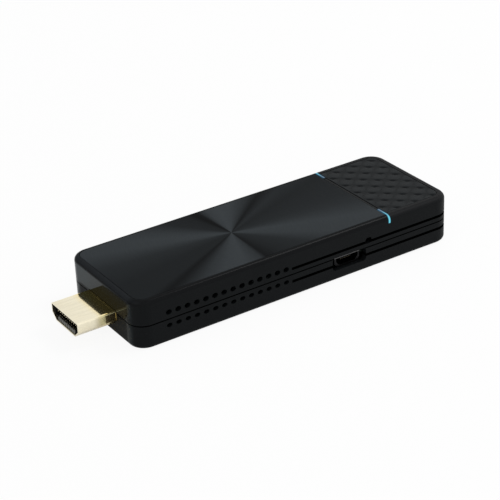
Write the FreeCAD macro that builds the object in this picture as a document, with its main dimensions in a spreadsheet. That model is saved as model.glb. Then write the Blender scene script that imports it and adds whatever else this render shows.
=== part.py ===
import FreeCAD, Part
import os
import re
import Sketcher

# Wireless display dongle, in millimetres. +X runs from the plug to the far end, +Z is up
# and the port side faces -Y. The origin is at the bottom centre of the outline, plug included.

SIZES = {
    # Casing
    "casing_length": 99.0,
    "casing_width": 34.5,
    "casing_height": 13.6,
    "plug_end_radius": 4.4,
    "far_end_radius": 4.8,
    "top_edge_radius": 1.4,
    "bottom_edge_radius": 1.2,
    "parting_height": 6.5,
    "parting_groove_width": 0.25,
    "parting_groove_depth": 0.25,
    "wall": 1.5,
    "floor_thickness": 1.6,
    "ceiling_thickness": 1.2,
    "lip_height": 0.8,
    "lip_thickness": 0.65,
    "lip_gap": 0.1,
    # Vents and grooves of the sides
    "vent_start": 9.3,
    "vent_pitch": 2.7,
    "vent_count": 14,
    "upper_vent_height": 8.6,
    "upper_vent_width": 1.75,
    "upper_vent_opening": 1.45,
    "lower_vent_height": 4.9,
    "lower_vent_width": 1.65,
    "lower_vent_opening": 1.2,
    "groove_width": 0.65,
    "groove_depth": 0.5,
    "upper_groove_height": 8.3,
    "upper_groove_start": 46.3,
    "lower_groove_height": 4.6,
    "lower_groove_start": 46.7,
    # Supports moulded in the covers
    "rib_start": 26.85,
    "rib_pitch": 18.9,
    "rib_thickness": 1.2,
    "boss_diameter": 4.0,
    "post_width": 2.0,
    "post_start": 15.0,
    "post_pitch": 34.0,
    "post_inset": 1.25,
    "post_gap": 0.1,
    "saddle_length": 2.4,
    "saddle_width": 9.0,
    # Top plate, textured panel and their tapes
    "plate_margin": 1.45,
    "plate_thickness": 0.6,
    "plate_bevel": 0.12,
    "tape_thickness": 0.15,
    "tape_margin": 0.6,
    "seam_gap": 0.12,
    "panel_margin": 2.2,
    "divider_drop": 0.15,
    # Light guide
    "end_zone_length": 21.15,
    "guide_width": 0.7,
    "guide_window": 5.25,
    "guide_gap": 0.15,
    "guide_fit": 0.05,
    "guide_bar": 1.1,
    "guide_leg_width": 1.2,
    "guide_leg_inset": 1.75,
    # Plug
    "plug_reach": 10.8,
    "plug_depth": 4.0,
    "plug_width": 13.9,
    "plug_height": 4.45,
    "plug_axis_height": 5.2,
    "plug_foot_width": 10.0,
    "plug_side_height": 2.65,
    "plug_sheet": 0.3,
    "plug_corner_radius": 0.5,
    "plug_opening_gap": 0.1,
    "plug_window_length": 3.0,
    "plug_window_height": 2.2,
    "plug_window_drop": 0.45,
    "plug_window_depth": 0.18,
    "core_fit": 0.05,
    "core_setback": 0.5,
    "core_slot_width": 12.0,
    "core_slot_depth": 8.5,
    "core_flange_width": 15.0,
    "core_flange_height": 5.2,
    "core_flange_thickness": 1.2,
    "contact_pitch": 1.0,
    "contact_count": 10,
    "contact_width": 0.5,
    "contact_thickness": 0.35,
    "contact_setback": 0.65,
    "contact_tail": 1.7,
    # Power socket
    "port_inset": 34.45,
    "port_axis_height": 4.7,
    "port_opening_middle": 4.9,
    "port_opening_width": 10.9,
    "port_opening_height": 3.7,
    "port_opening_radius": 1.0,
    "socket_width": 7.5,
    "socket_height": 2.6,
    "socket_length": 5.0,
    "socket_setback": 1.2,
    "socket_bevel_width": 0.9,
    "socket_bevel_height": 1.1,
    "socket_sheet": 0.25,
    "socket_flare": 0.3,
    "socket_flare_length": 0.35,
    "socket_gap": 0.1,
    "socket_rear_gap": 0.4,
    "tongue_width": 3.7,
    "tongue_thickness": 0.6,
    "tongue_rise": 0.3,
    "tongue_setback": 0.8,
    "socket_core_length": 2.0,
    "power_contact_pitch": 0.65,
    "power_contact_count": 5,
    "power_contact_width": 0.25,
    "power_contact_thickness": 0.12,
    "power_contact_tail": 1.2,
    # Reset switch
    "reset_lead": 6.3,
    "reset_height": 8.6,
    "reset_hole_width": 2.1,
    "reset_hole_opening": 1.7,
    "reset_hole_radius": 0.8,
    "switch_width": 4.2,
    "switch_depth": 2.6,
    "switch_setback": 2.85,
    "switch_head": 1.5,
    "switch_sheet": 0.2,
    "switch_bore": 2.1,
    "switch_bore_depth": 1.5,
    "plunger_diameter": 1.3,
    "plunger_collar": 2.0,
    "plunger_collar_length": 0.5,
    "plunger_tip_length": 1.15,
    "plunger_tip_bevel": 0.2,
    "plunger_slack": 0.03,
    "plunger_fit": 0.05,
    # Board and fasteners
    "board_thickness": 1.0,
    "board_gap": 0.6,
    "board_corner_radius": 2.0,
    "screw_start": 9.0,
    "screw_end": 6.0,
    "screw_side_inset": 2.75,
    "screw_end_spacing": 14.0,
    "screw_diameter": 1.5,
    "screw_length": 3.0,
    "screw_head_diameter": 3.0,
    "screw_head_height": 0.9,
    "screw_fit": 0.05,
    "screw_clearance": 0.15,
    # Components of the board
    "chip_bevel": 0.1,
    "processor_place": 31.0,
    "processor_width": 15.0,
    "processor_height": 1.2,
    "pad_width": 14.0,
    "pad_thickness": 1.0,
    "sink_length": 28.0,
    "sink_width": 24.0,
    "sink_base": 1.0,
    "sink_height": 3.0,
    "fin_count": 9,
    "fin_thickness": 0.8,
    "memory_gap": 0.6,
    "memory_length": 8.0,
    "memory_width": 11.0,
    "memory_height": 1.0,
    "memory_spacing": 14.0,
    "flash_end_inset": 34.5,
    "flash_side_inset": 1.65,
    "flash_length": 11.5,
    "flash_width": 13.0,
    "flash_height": 1.0,
    "radio_inset": 15.0,
    "radio_width": 12.0,
    "radio_thickness": 0.8,
    "shield_width": 10.5,
    "shield_height": 1.3,
    "shield_sheet": 0.2,
    "antenna_end_inset": 17.0,
    "antenna_length": 13.0,
    "antenna_height": 4.2,
    "antenna_side_inset": 2.35,
    "antenna_sheet": 0.3,
    "antenna_arm": 1.2,
    "antenna_leg": 0.8,
    "antenna_leg_pitch": 3.0,
    "led_length": 0.8,
    "led_width": 1.6,
    "led_height": 0.6,
    "led_gap": 0.3,
    "crystal_inset": 25.0,
    "crystal_offset": 4.0,
    "crystal_length": 3.2,
    "crystal_width": 2.5,
    "crystal_base": 0.3,
    "crystal_height": 0.8,
    "crystal_rim": 0.2,
    "inductor_lead": 5.05,
    "inductor_pitch": 5.6,
    "inductor_gap": 0.45,
    "inductor_width": 4.0,
    "inductor_height": 2.0,
    "inductor_bevel": 0.5,
    "regulator_place": 12.5,
    "regulator_pitch": 6.0,
    "regulator_width": 3.0,
    "regulator_height": 0.9,
    "capacitor_start": 19.0,
    "capacitor_pitch": 3.4,
    "capacitor_count": 6,
    "capacitor_inset": 1.35,
    "capacitor_length": 1.6,
    "capacitor_width": 0.8,
    "capacitor_height": 0.8,
}

WORD = re.compile(r"[a-z_]+")

# Places worked out from the sizes. Along X they are measured from the plug-end face of the casing.
PLUG_END = "(plug_reach - casing_length) / 2"
HALF_WIDTH = "(casing_width / 2)"
CEILING = "(casing_height - plate_thickness - tape_thickness - ceiling_thickness)"
BOARD_TOP = "(plug_axis_height + board_thickness / 2)"
BOARD_UNDER = "(plug_axis_height - board_thickness / 2)"
BOARD_START = "(plug_depth + core_flange_thickness)"
BOARD_END = "(casing_length - wall - board_gap)"
BOARD_SIDE = f"({HALF_WIDTH} - wall - board_gap)"
PLUG_TOP = "(plug_axis_height + plug_height / 2)"
PLUG_BOTTOM = "(plug_axis_height - plug_height / 2)"
GUIDE_PLACE = "(casing_length - end_zone_length)"
GUIDE_SHOULDER = f"({CEILING} - guide_gap)"
GUIDE_SLOT_HALF = "(guide_width / 2 + guide_fit)"
PLATE_BOTTOM = "(casing_height - plate_thickness)"
TAPE_BOTTOM = "(casing_height - plate_thickness - tape_thickness)"
GUIDE_LEG = f"({HALF_WIDTH} - wall - guide_leg_inset)"
PORT_PLACE = "(casing_length - port_inset)"
SOCKET_FRONT = f"(socket_setback - {HALF_WIDTH})"
SOCKET_REAR = f"({SOCKET_FRONT} + socket_length)"
TONGUE_BOTTOM = "(port_axis_height + tongue_rise - tongue_thickness / 2)"
RESET_PLACE = f"({PORT_PLACE} + reset_lead)"
SWITCH_FRONT = f"(switch_setback - {HALF_WIDTH} + switch_sheet)"
RADIO_PLACE = "(casing_length - radio_inset)"
PILOT_HOLE = "(screw_diameter + 2 * screw_fit)"
BOARD_HOLE = "(screw_diameter + 2 * screw_clearance)"

doc = FreeCAD.newDocument("display_dongle")
sheet = doc.addObject("Spreadsheet::Sheet", "Sizes")
parts = []


def fill_sheet():
    """Write each driving size into the sheet under its own alias."""
    for row, (name, number) in enumerate(SIZES.items(), start=1):
        sheet.set(f"A{row}", name)
        sheet.set(f"B{row}", str(number))
        sheet.setAlias(f"B{row}", name)
    doc.recompute()


def formula(text):
    """Spell a formula so that its size names point to the sheet."""
    return WORD.sub(lambda found: f"Sizes.{found[0]}" if found[0] in SIZES else found[0], str(text))


def value(text):
    """Work out a formula as a number."""
    return float(sheet.evalExpression(formula(text)))


def bind(item, **formulas):
    """Bind properties of an object to formulas on the sheet."""
    for name, text in formulas.items():
        item.setExpression(name.replace("__", "."), formula(text))


def place(item, x="0", y="0", z="0"):
    """Place a part by formulas, x from the plug-end face of the casing."""
    bind(item, Placement__Base__x=f"{PLUG_END} + {x}", Placement__Base__y=y, Placement__Base__z=z)
    parts.append(item)


def new_body(label, x="0", y="0", z="0"):
    """Start a part at its own place."""
    body = doc.addObject("PartDesign::Body", label)
    body.Label = label
    body.AllowCompound = True
    place(body, x, y, z)
    return body


def new_sketch(body, plane, offset="0"):
    """Start a sketch on one of the body's own planes, moved along the plane's normal."""
    sketch = body.newObject("Sketcher::SketchObject", f"{body.Name}_sketch")
    origin_plane = next(item for item in body.Origin.OriginFeatures if item.Role == plane)
    sketch.AttachmentSupport = [(origin_plane, "")]
    sketch.MapMode = "FlatFace"
    bind(sketch, AttachmentOffset__Base__z=offset)
    return sketch


def held(kind, element, point, text):
    """Hold a point's distance from the sketch's origin to a formula."""
    return Sketcher.Constraint(kind, -1, 1, element, point, value(text)), text


def constrain(sketch, rules):
    """Add constraints, each with the formula that it is bound to, if any."""
    indexes = sketch.addConstraint([rule for rule, text in rules])
    for index, (rule, text) in zip(indexes, rules):
        if text:
            sketch.setExpression(f"Constraints[{index}]", formula(text))


def outline(sketch, corners):
    """Draw a closed outline. A corner is (u, v), or (u, v, radius) between a level and an upright side."""
    places = [(value(corner[0]), value(corner[1])) for corner in corners]
    count = len(corners)
    first = sketch.GeometryCount
    lines = []
    for number in range(count):
        start = FreeCAD.Vector(*places[number], 0)
        end = FreeCAD.Vector(*places[(number + 1) % count], 0)
        step = (end - start).normalize()
        if len(corners[number]) == 3:
            start = start + step * value(corners[number][2])
        if len(corners[(number + 1) % count]) == 3:
            end = end - step * value(corners[(number + 1) % count][2])
        lines.append(Part.LineSegment(start, end))
    sketch.addGeometry(lines, False)
    rules = []
    for number in range(count):
        line = first + number
        previous = first + (number - 1) % count
        if len(corners[number]) == 3:
            rules += join_round(sketch, previous, line, corners[number])
        else:
            rules.append((Sketcher.Constraint("Coincident", previous, 2, line, 1), None))
            rules.append(held("DistanceX", line, 1, corners[number][0]))
            rules.append(held("DistanceY", line, 1, corners[number][1]))
    for number in range(count):
        after = (number + 1) % count
        rounded = (len(corners[number]) == 3) + (len(corners[after]) == 3)
        if rounded:
            level = abs(places[number][1] - places[after][1]) < abs(places[number][0] - places[after][0])
            rules.append((Sketcher.Constraint("Horizontal" if level else "Vertical", first + number), None))
            if rounded == 2 and level:
                rules.append(held("DistanceY", first + number, 1, corners[number][1]))
            elif rounded == 2:
                rules.append(held("DistanceX", first + number, 1, corners[number][0]))
    constrain(sketch, rules)


def join_round(sketch, before, after, corner):
    """Join two lines of an outline with an arc that is tangent to both."""
    start = sketch.Geometry[before].EndPoint
    end = sketch.Geometry[after].StartPoint
    sharp = FreeCAD.Vector(value(corner[0]), value(corner[1]), 0)
    radius = value(corner[2])
    centre = start + end - sharp
    middle = centre + (sharp - centre).normalize() * radius
    arc = sketch.addGeometry(Part.Arc(start, middle, end), False)
    turns_left = (sharp - start).cross(end - sharp).z > 0
    near, far = (1, 2) if turns_left else (2, 1)
    return [(Sketcher.Constraint("Tangent", before, 2, arc, near), None),
            (Sketcher.Constraint("Tangent", arc, far, after, 1), None),
            (Sketcher.Constraint("Radius", arc, radius), corner[2])]


def rectangle(sketch, left, right, bottom, top, left_radius=None, right_radius=None):
    """Draw a rectangle, with its left and right corners rounded if radii are given."""
    left_end = (left_radius,) if left_radius else ()
    right_end = (right_radius,) if right_radius else ()
    outline(sketch, [(left, bottom) + left_end, (right, bottom) + right_end,
                     (right, top) + right_end, (left, top) + left_end])


def circle(sketch, u, v, diameter):
    """Draw a circle round a point."""
    centre = FreeCAD.Vector(value(u), value(v), 0)
    element = sketch.addGeometry(Part.Circle(centre, FreeCAD.Vector(0, 0, 1), value(diameter) / 2), False)
    constrain(sketch, [held("DistanceX", element, 3, u), held("DistanceY", element, 3, v),
                       (Sketcher.Constraint("Diameter", element, value(diameter)), diameter)])


def many_sided(sketch, u, v, width, height):
    """Draw a twelve-sided round or oval, for what is small and repeated."""
    turns = [30 * step + 15 for step in range(12)]
    outline(sketch, [(f"{u} + {width} / 2 * cos({turn})", f"{v} + {height} / 2 * sin({turn})")
                     for turn in turns])


def pad(body, sketch, length, backwards=False, sides="One side"):
    """Add material along the sketch's normal, or backwards, or half each way."""
    feature = body.newObject("PartDesign::Pad", f"{body.Name}_pad")
    feature.Profile = sketch
    feature.SideType = sides
    feature.Reversed = backwards
    bind(feature, Length=length)
    doc.recompute()
    return feature


def pocket(body, sketch, depth, forwards=False, sides="One side"):
    """Cut against the sketch's normal, or forwards along it, or half each way."""
    before = body.Shape.Volume
    feature = body.newObject("PartDesign::Pocket", f"{body.Name}_pocket")
    feature.Profile = sketch
    feature.SideType = sides
    feature.Reversed = forwards
    bind(feature, Length=depth)
    doc.recompute()
    if body.Shape.Volume > before - 1e-6:
        print(f"{feature.Name} cuts nothing")
    return feature


def row_of(body, features, pitch, count):
    """Repeat features along X."""
    axis = next(item for item in body.Origin.OriginFeatures if item.Role == "X_Axis")
    pattern = body.newObject("PartDesign::LinearPattern", f"{body.Name}_row")
    pattern.Originals = features
    pattern.Direction = (axis, [""])
    pattern.Mode = "Spacing"
    bind(pattern, Offset=pitch, Occurrences=count)
    body.Tip = pattern
    doc.recompute()


def edges_where(feature, test):
    """Name the edges of a feature whose box passes a test."""
    return [f"Edge{number}" for number, edge in enumerate(feature.Shape.Edges, start=1) if test(edge.BoundBox)]


def dress(body, kind, test, **formulas):
    """Round or bevel the edges of the body that pass a test."""
    base = body.Tip
    feature = body.newObject(f"PartDesign::{kind}", f"{body.Name}_{kind.lower()}")
    feature.Base = (base, edges_where(base, test))
    bind(feature, **formulas)
    doc.recompute()


def at_top(text):
    """Test for edges that lie in the level plane at a height."""
    height = value(text)
    return lambda box: box.ZMin > height - 1e-4


def casing_outline(sketch, inset):
    """Draw the casing's plan, drawn in by an inset."""
    rectangle(sketch, inset, f"casing_length - {inset}", f"{inset} - {HALF_WIDTH}", f"{HALF_WIDTH} - {inset}",
              f"plug_end_radius - {inset}", f"far_end_radius - {inset}")


def groove_outline(sketch, start):
    """Draw the plan of a groove that runs along both sides and round the far end."""
    floor_side = f"({HALF_WIDTH} - groove_depth)"
    floor_end = "casing_length - groove_depth"
    radius = "far_end_radius - groove_depth"
    clear_side = f"({HALF_WIDTH} + groove_depth)"
    clear_end = "casing_length + groove_depth"
    outline(sketch, [(start, f"-{clear_side}"), (clear_end, f"-{clear_side}"), (clear_end, clear_side),
                     (start, clear_side), (start, floor_side), (floor_end, floor_side, radius),
                     (floor_end, f"-{floor_side}", radius), (start, f"-{floor_side}")])


def plug_outline(sketch, growth):
    """Draw the section of the plug, with a level top and bevelled foot, grown by an offset on every side."""
    slope_width = "((plug_width - plug_foot_width) / 2)"
    slope_height = "(plug_height - plug_side_height)"
    slope = f"hypot({slope_width}; {slope_height})"
    half = f"(plug_width / 2 + {growth})"
    top = f"{PLUG_TOP} + {growth}"
    knee = f"{PLUG_TOP} - plug_side_height + {growth} * ({slope_height} - {slope}) / {slope_width}"
    foot = f"(plug_foot_width / 2 + {growth} * ({slope} - {slope_width}) / {slope_height})"
    bottom = f"{PLUG_BOTTOM} - {growth}"
    outline(sketch, [(f"-{foot}", bottom), (foot, bottom), (half, knee), (half, top),
                     (f"-{half}", top), (f"-{half}", knee)])


def cut_vents(body, height, width, opening):
    """Cut one row of oval vents through each long side."""
    firsts = []
    for side, forwards in ((HALF_WIDTH, False), (f"-{HALF_WIDTH}", True)):
        sketch = new_sketch(body, "XZ_Plane", side)
        many_sided(sketch, "vent_start", height, width, opening)
        firsts.append(pocket(body, sketch, "wall", forwards))
    row_of(body, firsts, "vent_pitch", "vent_count")


def cut_groove(body, start, height):
    """Cut the groove round the far half of a cover."""
    sketch = new_sketch(body, "XY_Plane", f"{height} + groove_width / 2")
    groove_outline(sketch, start)
    pocket(body, sketch, "groove_width")


def cut_parting_groove(body):
    """Cut the shadow line just above the joint of the covers, all the way round."""
    sketch = new_sketch(body, "XY_Plane", "parting_height + parting_groove_width")
    casing_outline(sketch, "(0 - parting_groove_depth)")
    casing_outline(sketch, "parting_groove_depth")
    pocket(body, sketch, "parting_groove_width")


def cut_port(body):
    """Cut the opening of the power socket through the front wall."""
    sketch = new_sketch(body, "XZ_Plane", HALF_WIDTH)
    rectangle(sketch, f"{PORT_PLACE} - port_opening_width / 2", f"{PORT_PLACE} + port_opening_width / 2",
              "port_opening_middle - port_opening_height / 2", "port_opening_middle + port_opening_height / 2",
              "port_opening_radius", "port_opening_radius")
    pocket(body, sketch, "wall")


def cut_plug_opening(body):
    """Cut the opening of the plug through the end wall."""
    sketch = new_sketch(body, "YZ_Plane", "wall")
    plug_outline(sketch, "plug_opening_gap")
    pocket(body, sketch, "wall")


def screw_places():
    """Give the plan places of the four board screws."""
    for x, y in (("screw_start", f"({BOARD_SIDE} - screw_side_inset)"),
                 ("casing_length - screw_end", "screw_end_spacing / 2")):
        for side in ("-", ""):
            yield x, side + y


def make_bottom_cover():
    body = new_body("bottom_cover")
    tray = new_sketch(body, "XY_Plane")
    casing_outline(tray, "0")
    pad(body, tray, "parting_height")
    dress(body, "Fillet", lambda box: box.ZMax < 1e-4, Radius="bottom_edge_radius")
    hollow = new_sketch(body, "XY_Plane", "parting_height")
    casing_outline(hollow, "wall")
    pocket(body, hollow, "parting_height - floor_thickness")
    lip = new_sketch(body, "XY_Plane", "parting_height")
    casing_outline(lip, "(wall - lip_thickness)")
    casing_outline(lip, "wall")
    pad(body, lip, "lip_height")
    cut_plug_opening(body)
    cut_port(body)
    gap = new_sketch(body, "XY_Plane", "parting_height + lip_height")
    rectangle(gap, f"{PORT_PLACE} - port_opening_width / 2", f"{PORT_PLACE} + port_opening_width / 2",
              f"-{HALF_WIDTH}", f"wall - {HALF_WIDTH}")
    pocket(body, gap, "lip_height")
    cut_groove(body, "lower_groove_start", "lower_groove_height")
    add_board_supports(body)
    cut_vents(body, "lower_vent_height", "lower_vent_width", "lower_vent_opening")


def add_board_supports(body):
    """Add the ribs, screw bosses and plug saddle that stand on the floor."""
    ribs = new_sketch(body, "XY_Plane", "floor_thickness")
    for number in range(2):
        middle = f"rib_start + {number} * rib_pitch"
        rectangle(ribs, f"{middle} - rib_thickness / 2", f"{middle} + rib_thickness / 2",
                  f"wall - {HALF_WIDTH}", f"{HALF_WIDTH} - wall")
    pad(body, ribs, f"{BOARD_UNDER} - floor_thickness")
    bosses = new_sketch(body, "XY_Plane", "floor_thickness")
    for x, y in screw_places():
        circle(bosses, x, y, "boss_diameter")
    pad(body, bosses, f"{BOARD_UNDER} - floor_thickness")
    holes = new_sketch(body, "XY_Plane", BOARD_UNDER)
    for x, y in screw_places():
        many_sided(holes, x, y, PILOT_HOLE, PILOT_HOLE)
    pocket(body, holes, "screw_length - board_thickness + screw_fit")
    saddle = new_sketch(body, "XY_Plane", "floor_thickness")
    rectangle(saddle, "wall", "wall + saddle_length", "-saddle_width / 2", "saddle_width / 2")
    pad(body, saddle, f"{PLUG_BOTTOM} - floor_thickness")


def make_top_cover():
    body = new_body("top_cover")
    shell = new_sketch(body, "XY_Plane", "parting_height")
    casing_outline(shell, "0")
    pad(body, shell, "casing_height - parting_height")
    dress(body, "Fillet", at_top("casing_height"), Radius="top_edge_radius")
    hollow = new_sketch(body, "XY_Plane", "parting_height")
    casing_outline(hollow, "wall")
    pocket(body, hollow, f"{CEILING} - parting_height", forwards=True)
    rebate = new_sketch(body, "XY_Plane", "parting_height")
    casing_outline(rebate, "(wall - lip_thickness - lip_gap)")
    pocket(body, rebate, "lip_height + lip_gap", forwards=True)
    plate_bed = new_sketch(body, "XY_Plane", "casing_height")
    plate_outline(plate_bed, "seam_gap")
    pocket(body, plate_bed, "plate_thickness + tape_thickness")
    panel_bed = new_sketch(body, "XY_Plane", "casing_height")
    panel_outline(panel_bed, "seam_gap")
    pocket(body, panel_bed, "plate_thickness + tape_thickness")
    cut_divider(body)
    cut_guide_slots(body)
    cut_plug_opening(body)
    cut_port(body)
    cut_parting_groove(body)
    cut_groove(body, "upper_groove_start", "upper_groove_height")
    hole = new_sketch(body, "XZ_Plane", HALF_WIDTH)
    rectangle(hole, f"{RESET_PLACE} - reset_hole_width / 2", f"{RESET_PLACE} + reset_hole_width / 2",
              "reset_height - reset_hole_opening / 2", "reset_height + reset_hole_opening / 2",
              "reset_hole_radius", "reset_hole_radius")
    pocket(body, hole, "wall")
    add_hold_downs(body)
    cut_vents(body, "upper_vent_height", "upper_vent_width", "upper_vent_opening")


def plate_outline(sketch, growth):
    """Draw the plan of the glossy plate, grown by an offset."""
    radius = f"plug_end_radius - plate_margin + {growth}"
    end = f"{GUIDE_PLACE} - {GUIDE_SLOT_HALF} + {growth}"
    side = f"({HALF_WIDTH} - plate_margin + {growth})"
    start = f"plate_margin - {growth}"
    outline(sketch, [(start, f"-{side}", radius), (end, f"-{side}"), (end, side), (start, side, radius)])


def panel_outline(sketch, growth):
    """Draw the plan of the textured panel, grown by an offset."""
    radius = f"far_end_radius - panel_margin + {growth}"
    start = f"{GUIDE_PLACE} + {GUIDE_SLOT_HALF} - {growth}"
    side = f"({HALF_WIDTH} - panel_margin + {growth})"
    end = f"casing_length - panel_margin + {growth}"
    outline(sketch, [(start, f"-{side}"), (end, f"-{side}", radius), (end, side, radius), (start, side)])


def cut_divider(body):
    """Lower the rib between the plate and the panel below their faces."""
    sketch = new_sketch(body, "XY_Plane", "casing_height")
    side = f"({HALF_WIDTH} - guide_window)"
    rectangle(sketch, f"{GUIDE_PLACE} - {GUIDE_SLOT_HALF}", f"{GUIDE_PLACE} + {GUIDE_SLOT_HALF}", f"-{side}", side)
    pocket(body, sketch, "divider_drop")


def cut_guide_slots(body):
    """Cut the two slots that the light guide's ends fill."""
    sketch = new_sketch(body, "YZ_Plane", f"{GUIDE_PLACE} + {GUIDE_SLOT_HALF}")
    inner = f"({HALF_WIDTH} - guide_window)"
    rectangle(sketch, inner, HALF_WIDTH, GUIDE_SHOULDER, "casing_height")
    rectangle(sketch, f"-{HALF_WIDTH}", f"-{inner}", GUIDE_SHOULDER, "casing_height")
    pocket(body, sketch, f"2 * {GUIDE_SLOT_HALF}")


def add_hold_downs(body):
    """Add the posts over the board and the bar over the plug, which hang from the ceiling."""
    posts = new_sketch(body, "XY_Plane", CEILING)
    for number in range(2):
        for side in ("-", ""):
            x = f"post_start + {number} * post_pitch"
            y = f"{side}({BOARD_SIDE} - post_inset)"
            rectangle(posts, f"{x} - post_width / 2", f"{x} + post_width / 2", f"{y} - post_width / 2",
                      f"{y} + post_width / 2")
    pad(body, posts, f"{CEILING} - {BOARD_TOP} - post_gap", backwards=True)
    bar = new_sketch(body, "XY_Plane", CEILING)
    rectangle(bar, "wall", "wall + saddle_length", "-saddle_width / 2", "saddle_width / 2")
    pad(body, bar, f"{CEILING} - {PLUG_TOP} - post_gap", backwards=True)


def make_top_plate():
    body = new_body("top_plate", z=PLATE_BOTTOM)
    sketch = new_sketch(body, "XY_Plane")
    plate_outline(sketch, "0")
    pad(body, sketch, "plate_thickness")
    dress(body, "Chamfer", at_top("plate_thickness"), Size="plate_bevel")


def make_grip_panel():
    body = new_body("grip_panel", z=PLATE_BOTTOM)
    sketch = new_sketch(body, "XY_Plane")
    panel_outline(sketch, "0")
    pad(body, sketch, "plate_thickness")
    dress(body, "Chamfer", at_top("plate_thickness"), Size="plate_bevel")


def make_tape(label, plan):
    body = new_body(label, z=TAPE_BOTTOM)
    sketch = new_sketch(body, "XY_Plane")
    plan(sketch, "(0 - tape_margin)")
    pad(body, sketch, "tape_thickness")


def make_light_guide():
    """Clear bar across the casing, with a leg over each status light and a window at each edge."""
    body = new_body("light_guide", GUIDE_PLACE)
    sketch = new_sketch(body, "YZ_Plane")
    leg_in = f"({GUIDE_LEG} - guide_leg_width / 2)"
    leg_out = f"({GUIDE_LEG} + guide_leg_width / 2)"
    window = f"({HALF_WIDTH} - guide_window)"
    leg_end = f"{BOARD_TOP} + led_height + led_gap"
    bar_bottom = f"{GUIDE_SHOULDER} - guide_bar"
    right = [(leg_in, bar_bottom), (leg_in, leg_end), (leg_out, leg_end), (leg_out, GUIDE_SHOULDER),
             (HALF_WIDTH, GUIDE_SHOULDER), (HALF_WIDTH, "casing_height", "top_edge_radius"),
             (window, "casing_height"), (window, GUIDE_SHOULDER)]
    left = [(f"-{corner[0]}",) + corner[1:] for corner in reversed(right)]
    outline(sketch, right + left)
    pad(body, sketch, "guide_width", sides="Symmetric")


def make_hdmi_shell():
    body = new_body("hdmi_shell")
    section = new_sketch(body, "YZ_Plane", "-plug_reach")
    plug_outline(section, "0")
    pad(body, section, "plug_reach + plug_depth")
    dress(body, "Fillet", lambda box: box.XLength > 1, Radius="plug_corner_radius")
    bore = new_sketch(body, "YZ_Plane", "-plug_reach")
    plug_outline(bore, "(0 - plug_sheet)")
    pocket(body, bore, "plug_reach + plug_depth", forwards=True)
    for side, forwards in (("plug_width / 2", False), ("-plug_width / 2", True)):
        panel = new_sketch(body, "XZ_Plane", side)
        rectangle(panel, "-plug_window_length", "0", f"{PLUG_TOP} - plug_window_drop - plug_window_height",
                  f"{PLUG_TOP} - plug_window_drop")
        pocket(body, panel, "plug_window_depth", forwards)


def contact_sections(sketch):
    """Draw the sections of both rows of plug contacts, which lie against the board's two faces."""
    top = (BOARD_TOP, f"{BOARD_TOP} + contact_thickness", "contact_count")
    under = (f"{BOARD_UNDER} - contact_thickness", BOARD_UNDER, "(contact_count - 1)")
    for low, high, count in (top, under):
        for number in range(int(value(count))):
            middle = f"({number} - ({count} - 1) / 2) * contact_pitch"
            rectangle(sketch, f"{middle} - contact_width / 2", f"{middle} + contact_width / 2", low, high)


def make_hdmi_insulator():
    body = new_body("hdmi_insulator")
    front = "(core_setback - plug_reach)"
    core = new_sketch(body, "YZ_Plane", front)
    plug_outline(core, "(0 - plug_sheet - core_fit)")
    pad(body, core, f"plug_depth - {front}")
    flange = new_sketch(body, "YZ_Plane", "plug_depth")
    rectangle(flange, "-core_flange_width / 2", "core_flange_width / 2",
              "plug_axis_height - core_flange_height / 2", "plug_axis_height + core_flange_height / 2")
    pad(body, flange, "core_flange_thickness")
    slot = new_sketch(body, "YZ_Plane", front)
    rectangle(slot, "-core_slot_width / 2", "core_slot_width / 2", f"{BOARD_UNDER} - contact_thickness",
              f"{BOARD_TOP} + contact_thickness")
    pocket(body, slot, "core_slot_depth", forwards=True)
    channels = new_sketch(body, "YZ_Plane", front)
    contact_sections(channels)
    pocket(body, channels, f"{BOARD_START} - {front}", forwards=True)


def make_hdmi_contacts():
    body = new_body("hdmi_contacts")
    sketch = new_sketch(body, "YZ_Plane", "contact_setback - plug_reach")
    contact_sections(sketch)
    pad(body, sketch, f"plug_reach - contact_setback + {BOARD_START} + contact_tail")


def socket_outline(sketch, growth):
    """Draw the section of the power socket about its axis, with bevelled lower corners, grown by an offset."""
    half = f"(socket_width / 2 + {growth})"
    foot = f"({half} - socket_bevel_width)"
    top = f"socket_height / 2 + {growth}"
    bottom = f"(0 - socket_height / 2 - {growth})"
    knee = f"{bottom} + socket_bevel_height"
    outline(sketch, [(f"-{foot}", bottom), (foot, bottom), (half, knee), (half, top), (f"-{half}", top),
                     (f"-{half}", knee)])


def make_usb_shell():
    body = new_body("usb_shell", PORT_PLACE, SOCKET_FRONT, "port_axis_height")
    tube = new_sketch(body, "XZ_Plane")
    socket_outline(tube, "0")
    pad(body, tube, "socket_length", backwards=True)
    flare = new_sketch(body, "XZ_Plane")
    socket_outline(flare, "socket_flare")
    pad(body, flare, "socket_flare_length", backwards=True)
    bore = new_sketch(body, "XZ_Plane")
    socket_outline(bore, "(0 - socket_sheet)")
    pocket(body, bore, "socket_length")


def power_contact_places():
    """Give the middle of each power contact, from the socket's axis."""
    for number in range(int(value("power_contact_count"))):
        yield f"({number} - (power_contact_count - 1) / 2) * power_contact_pitch"


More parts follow.
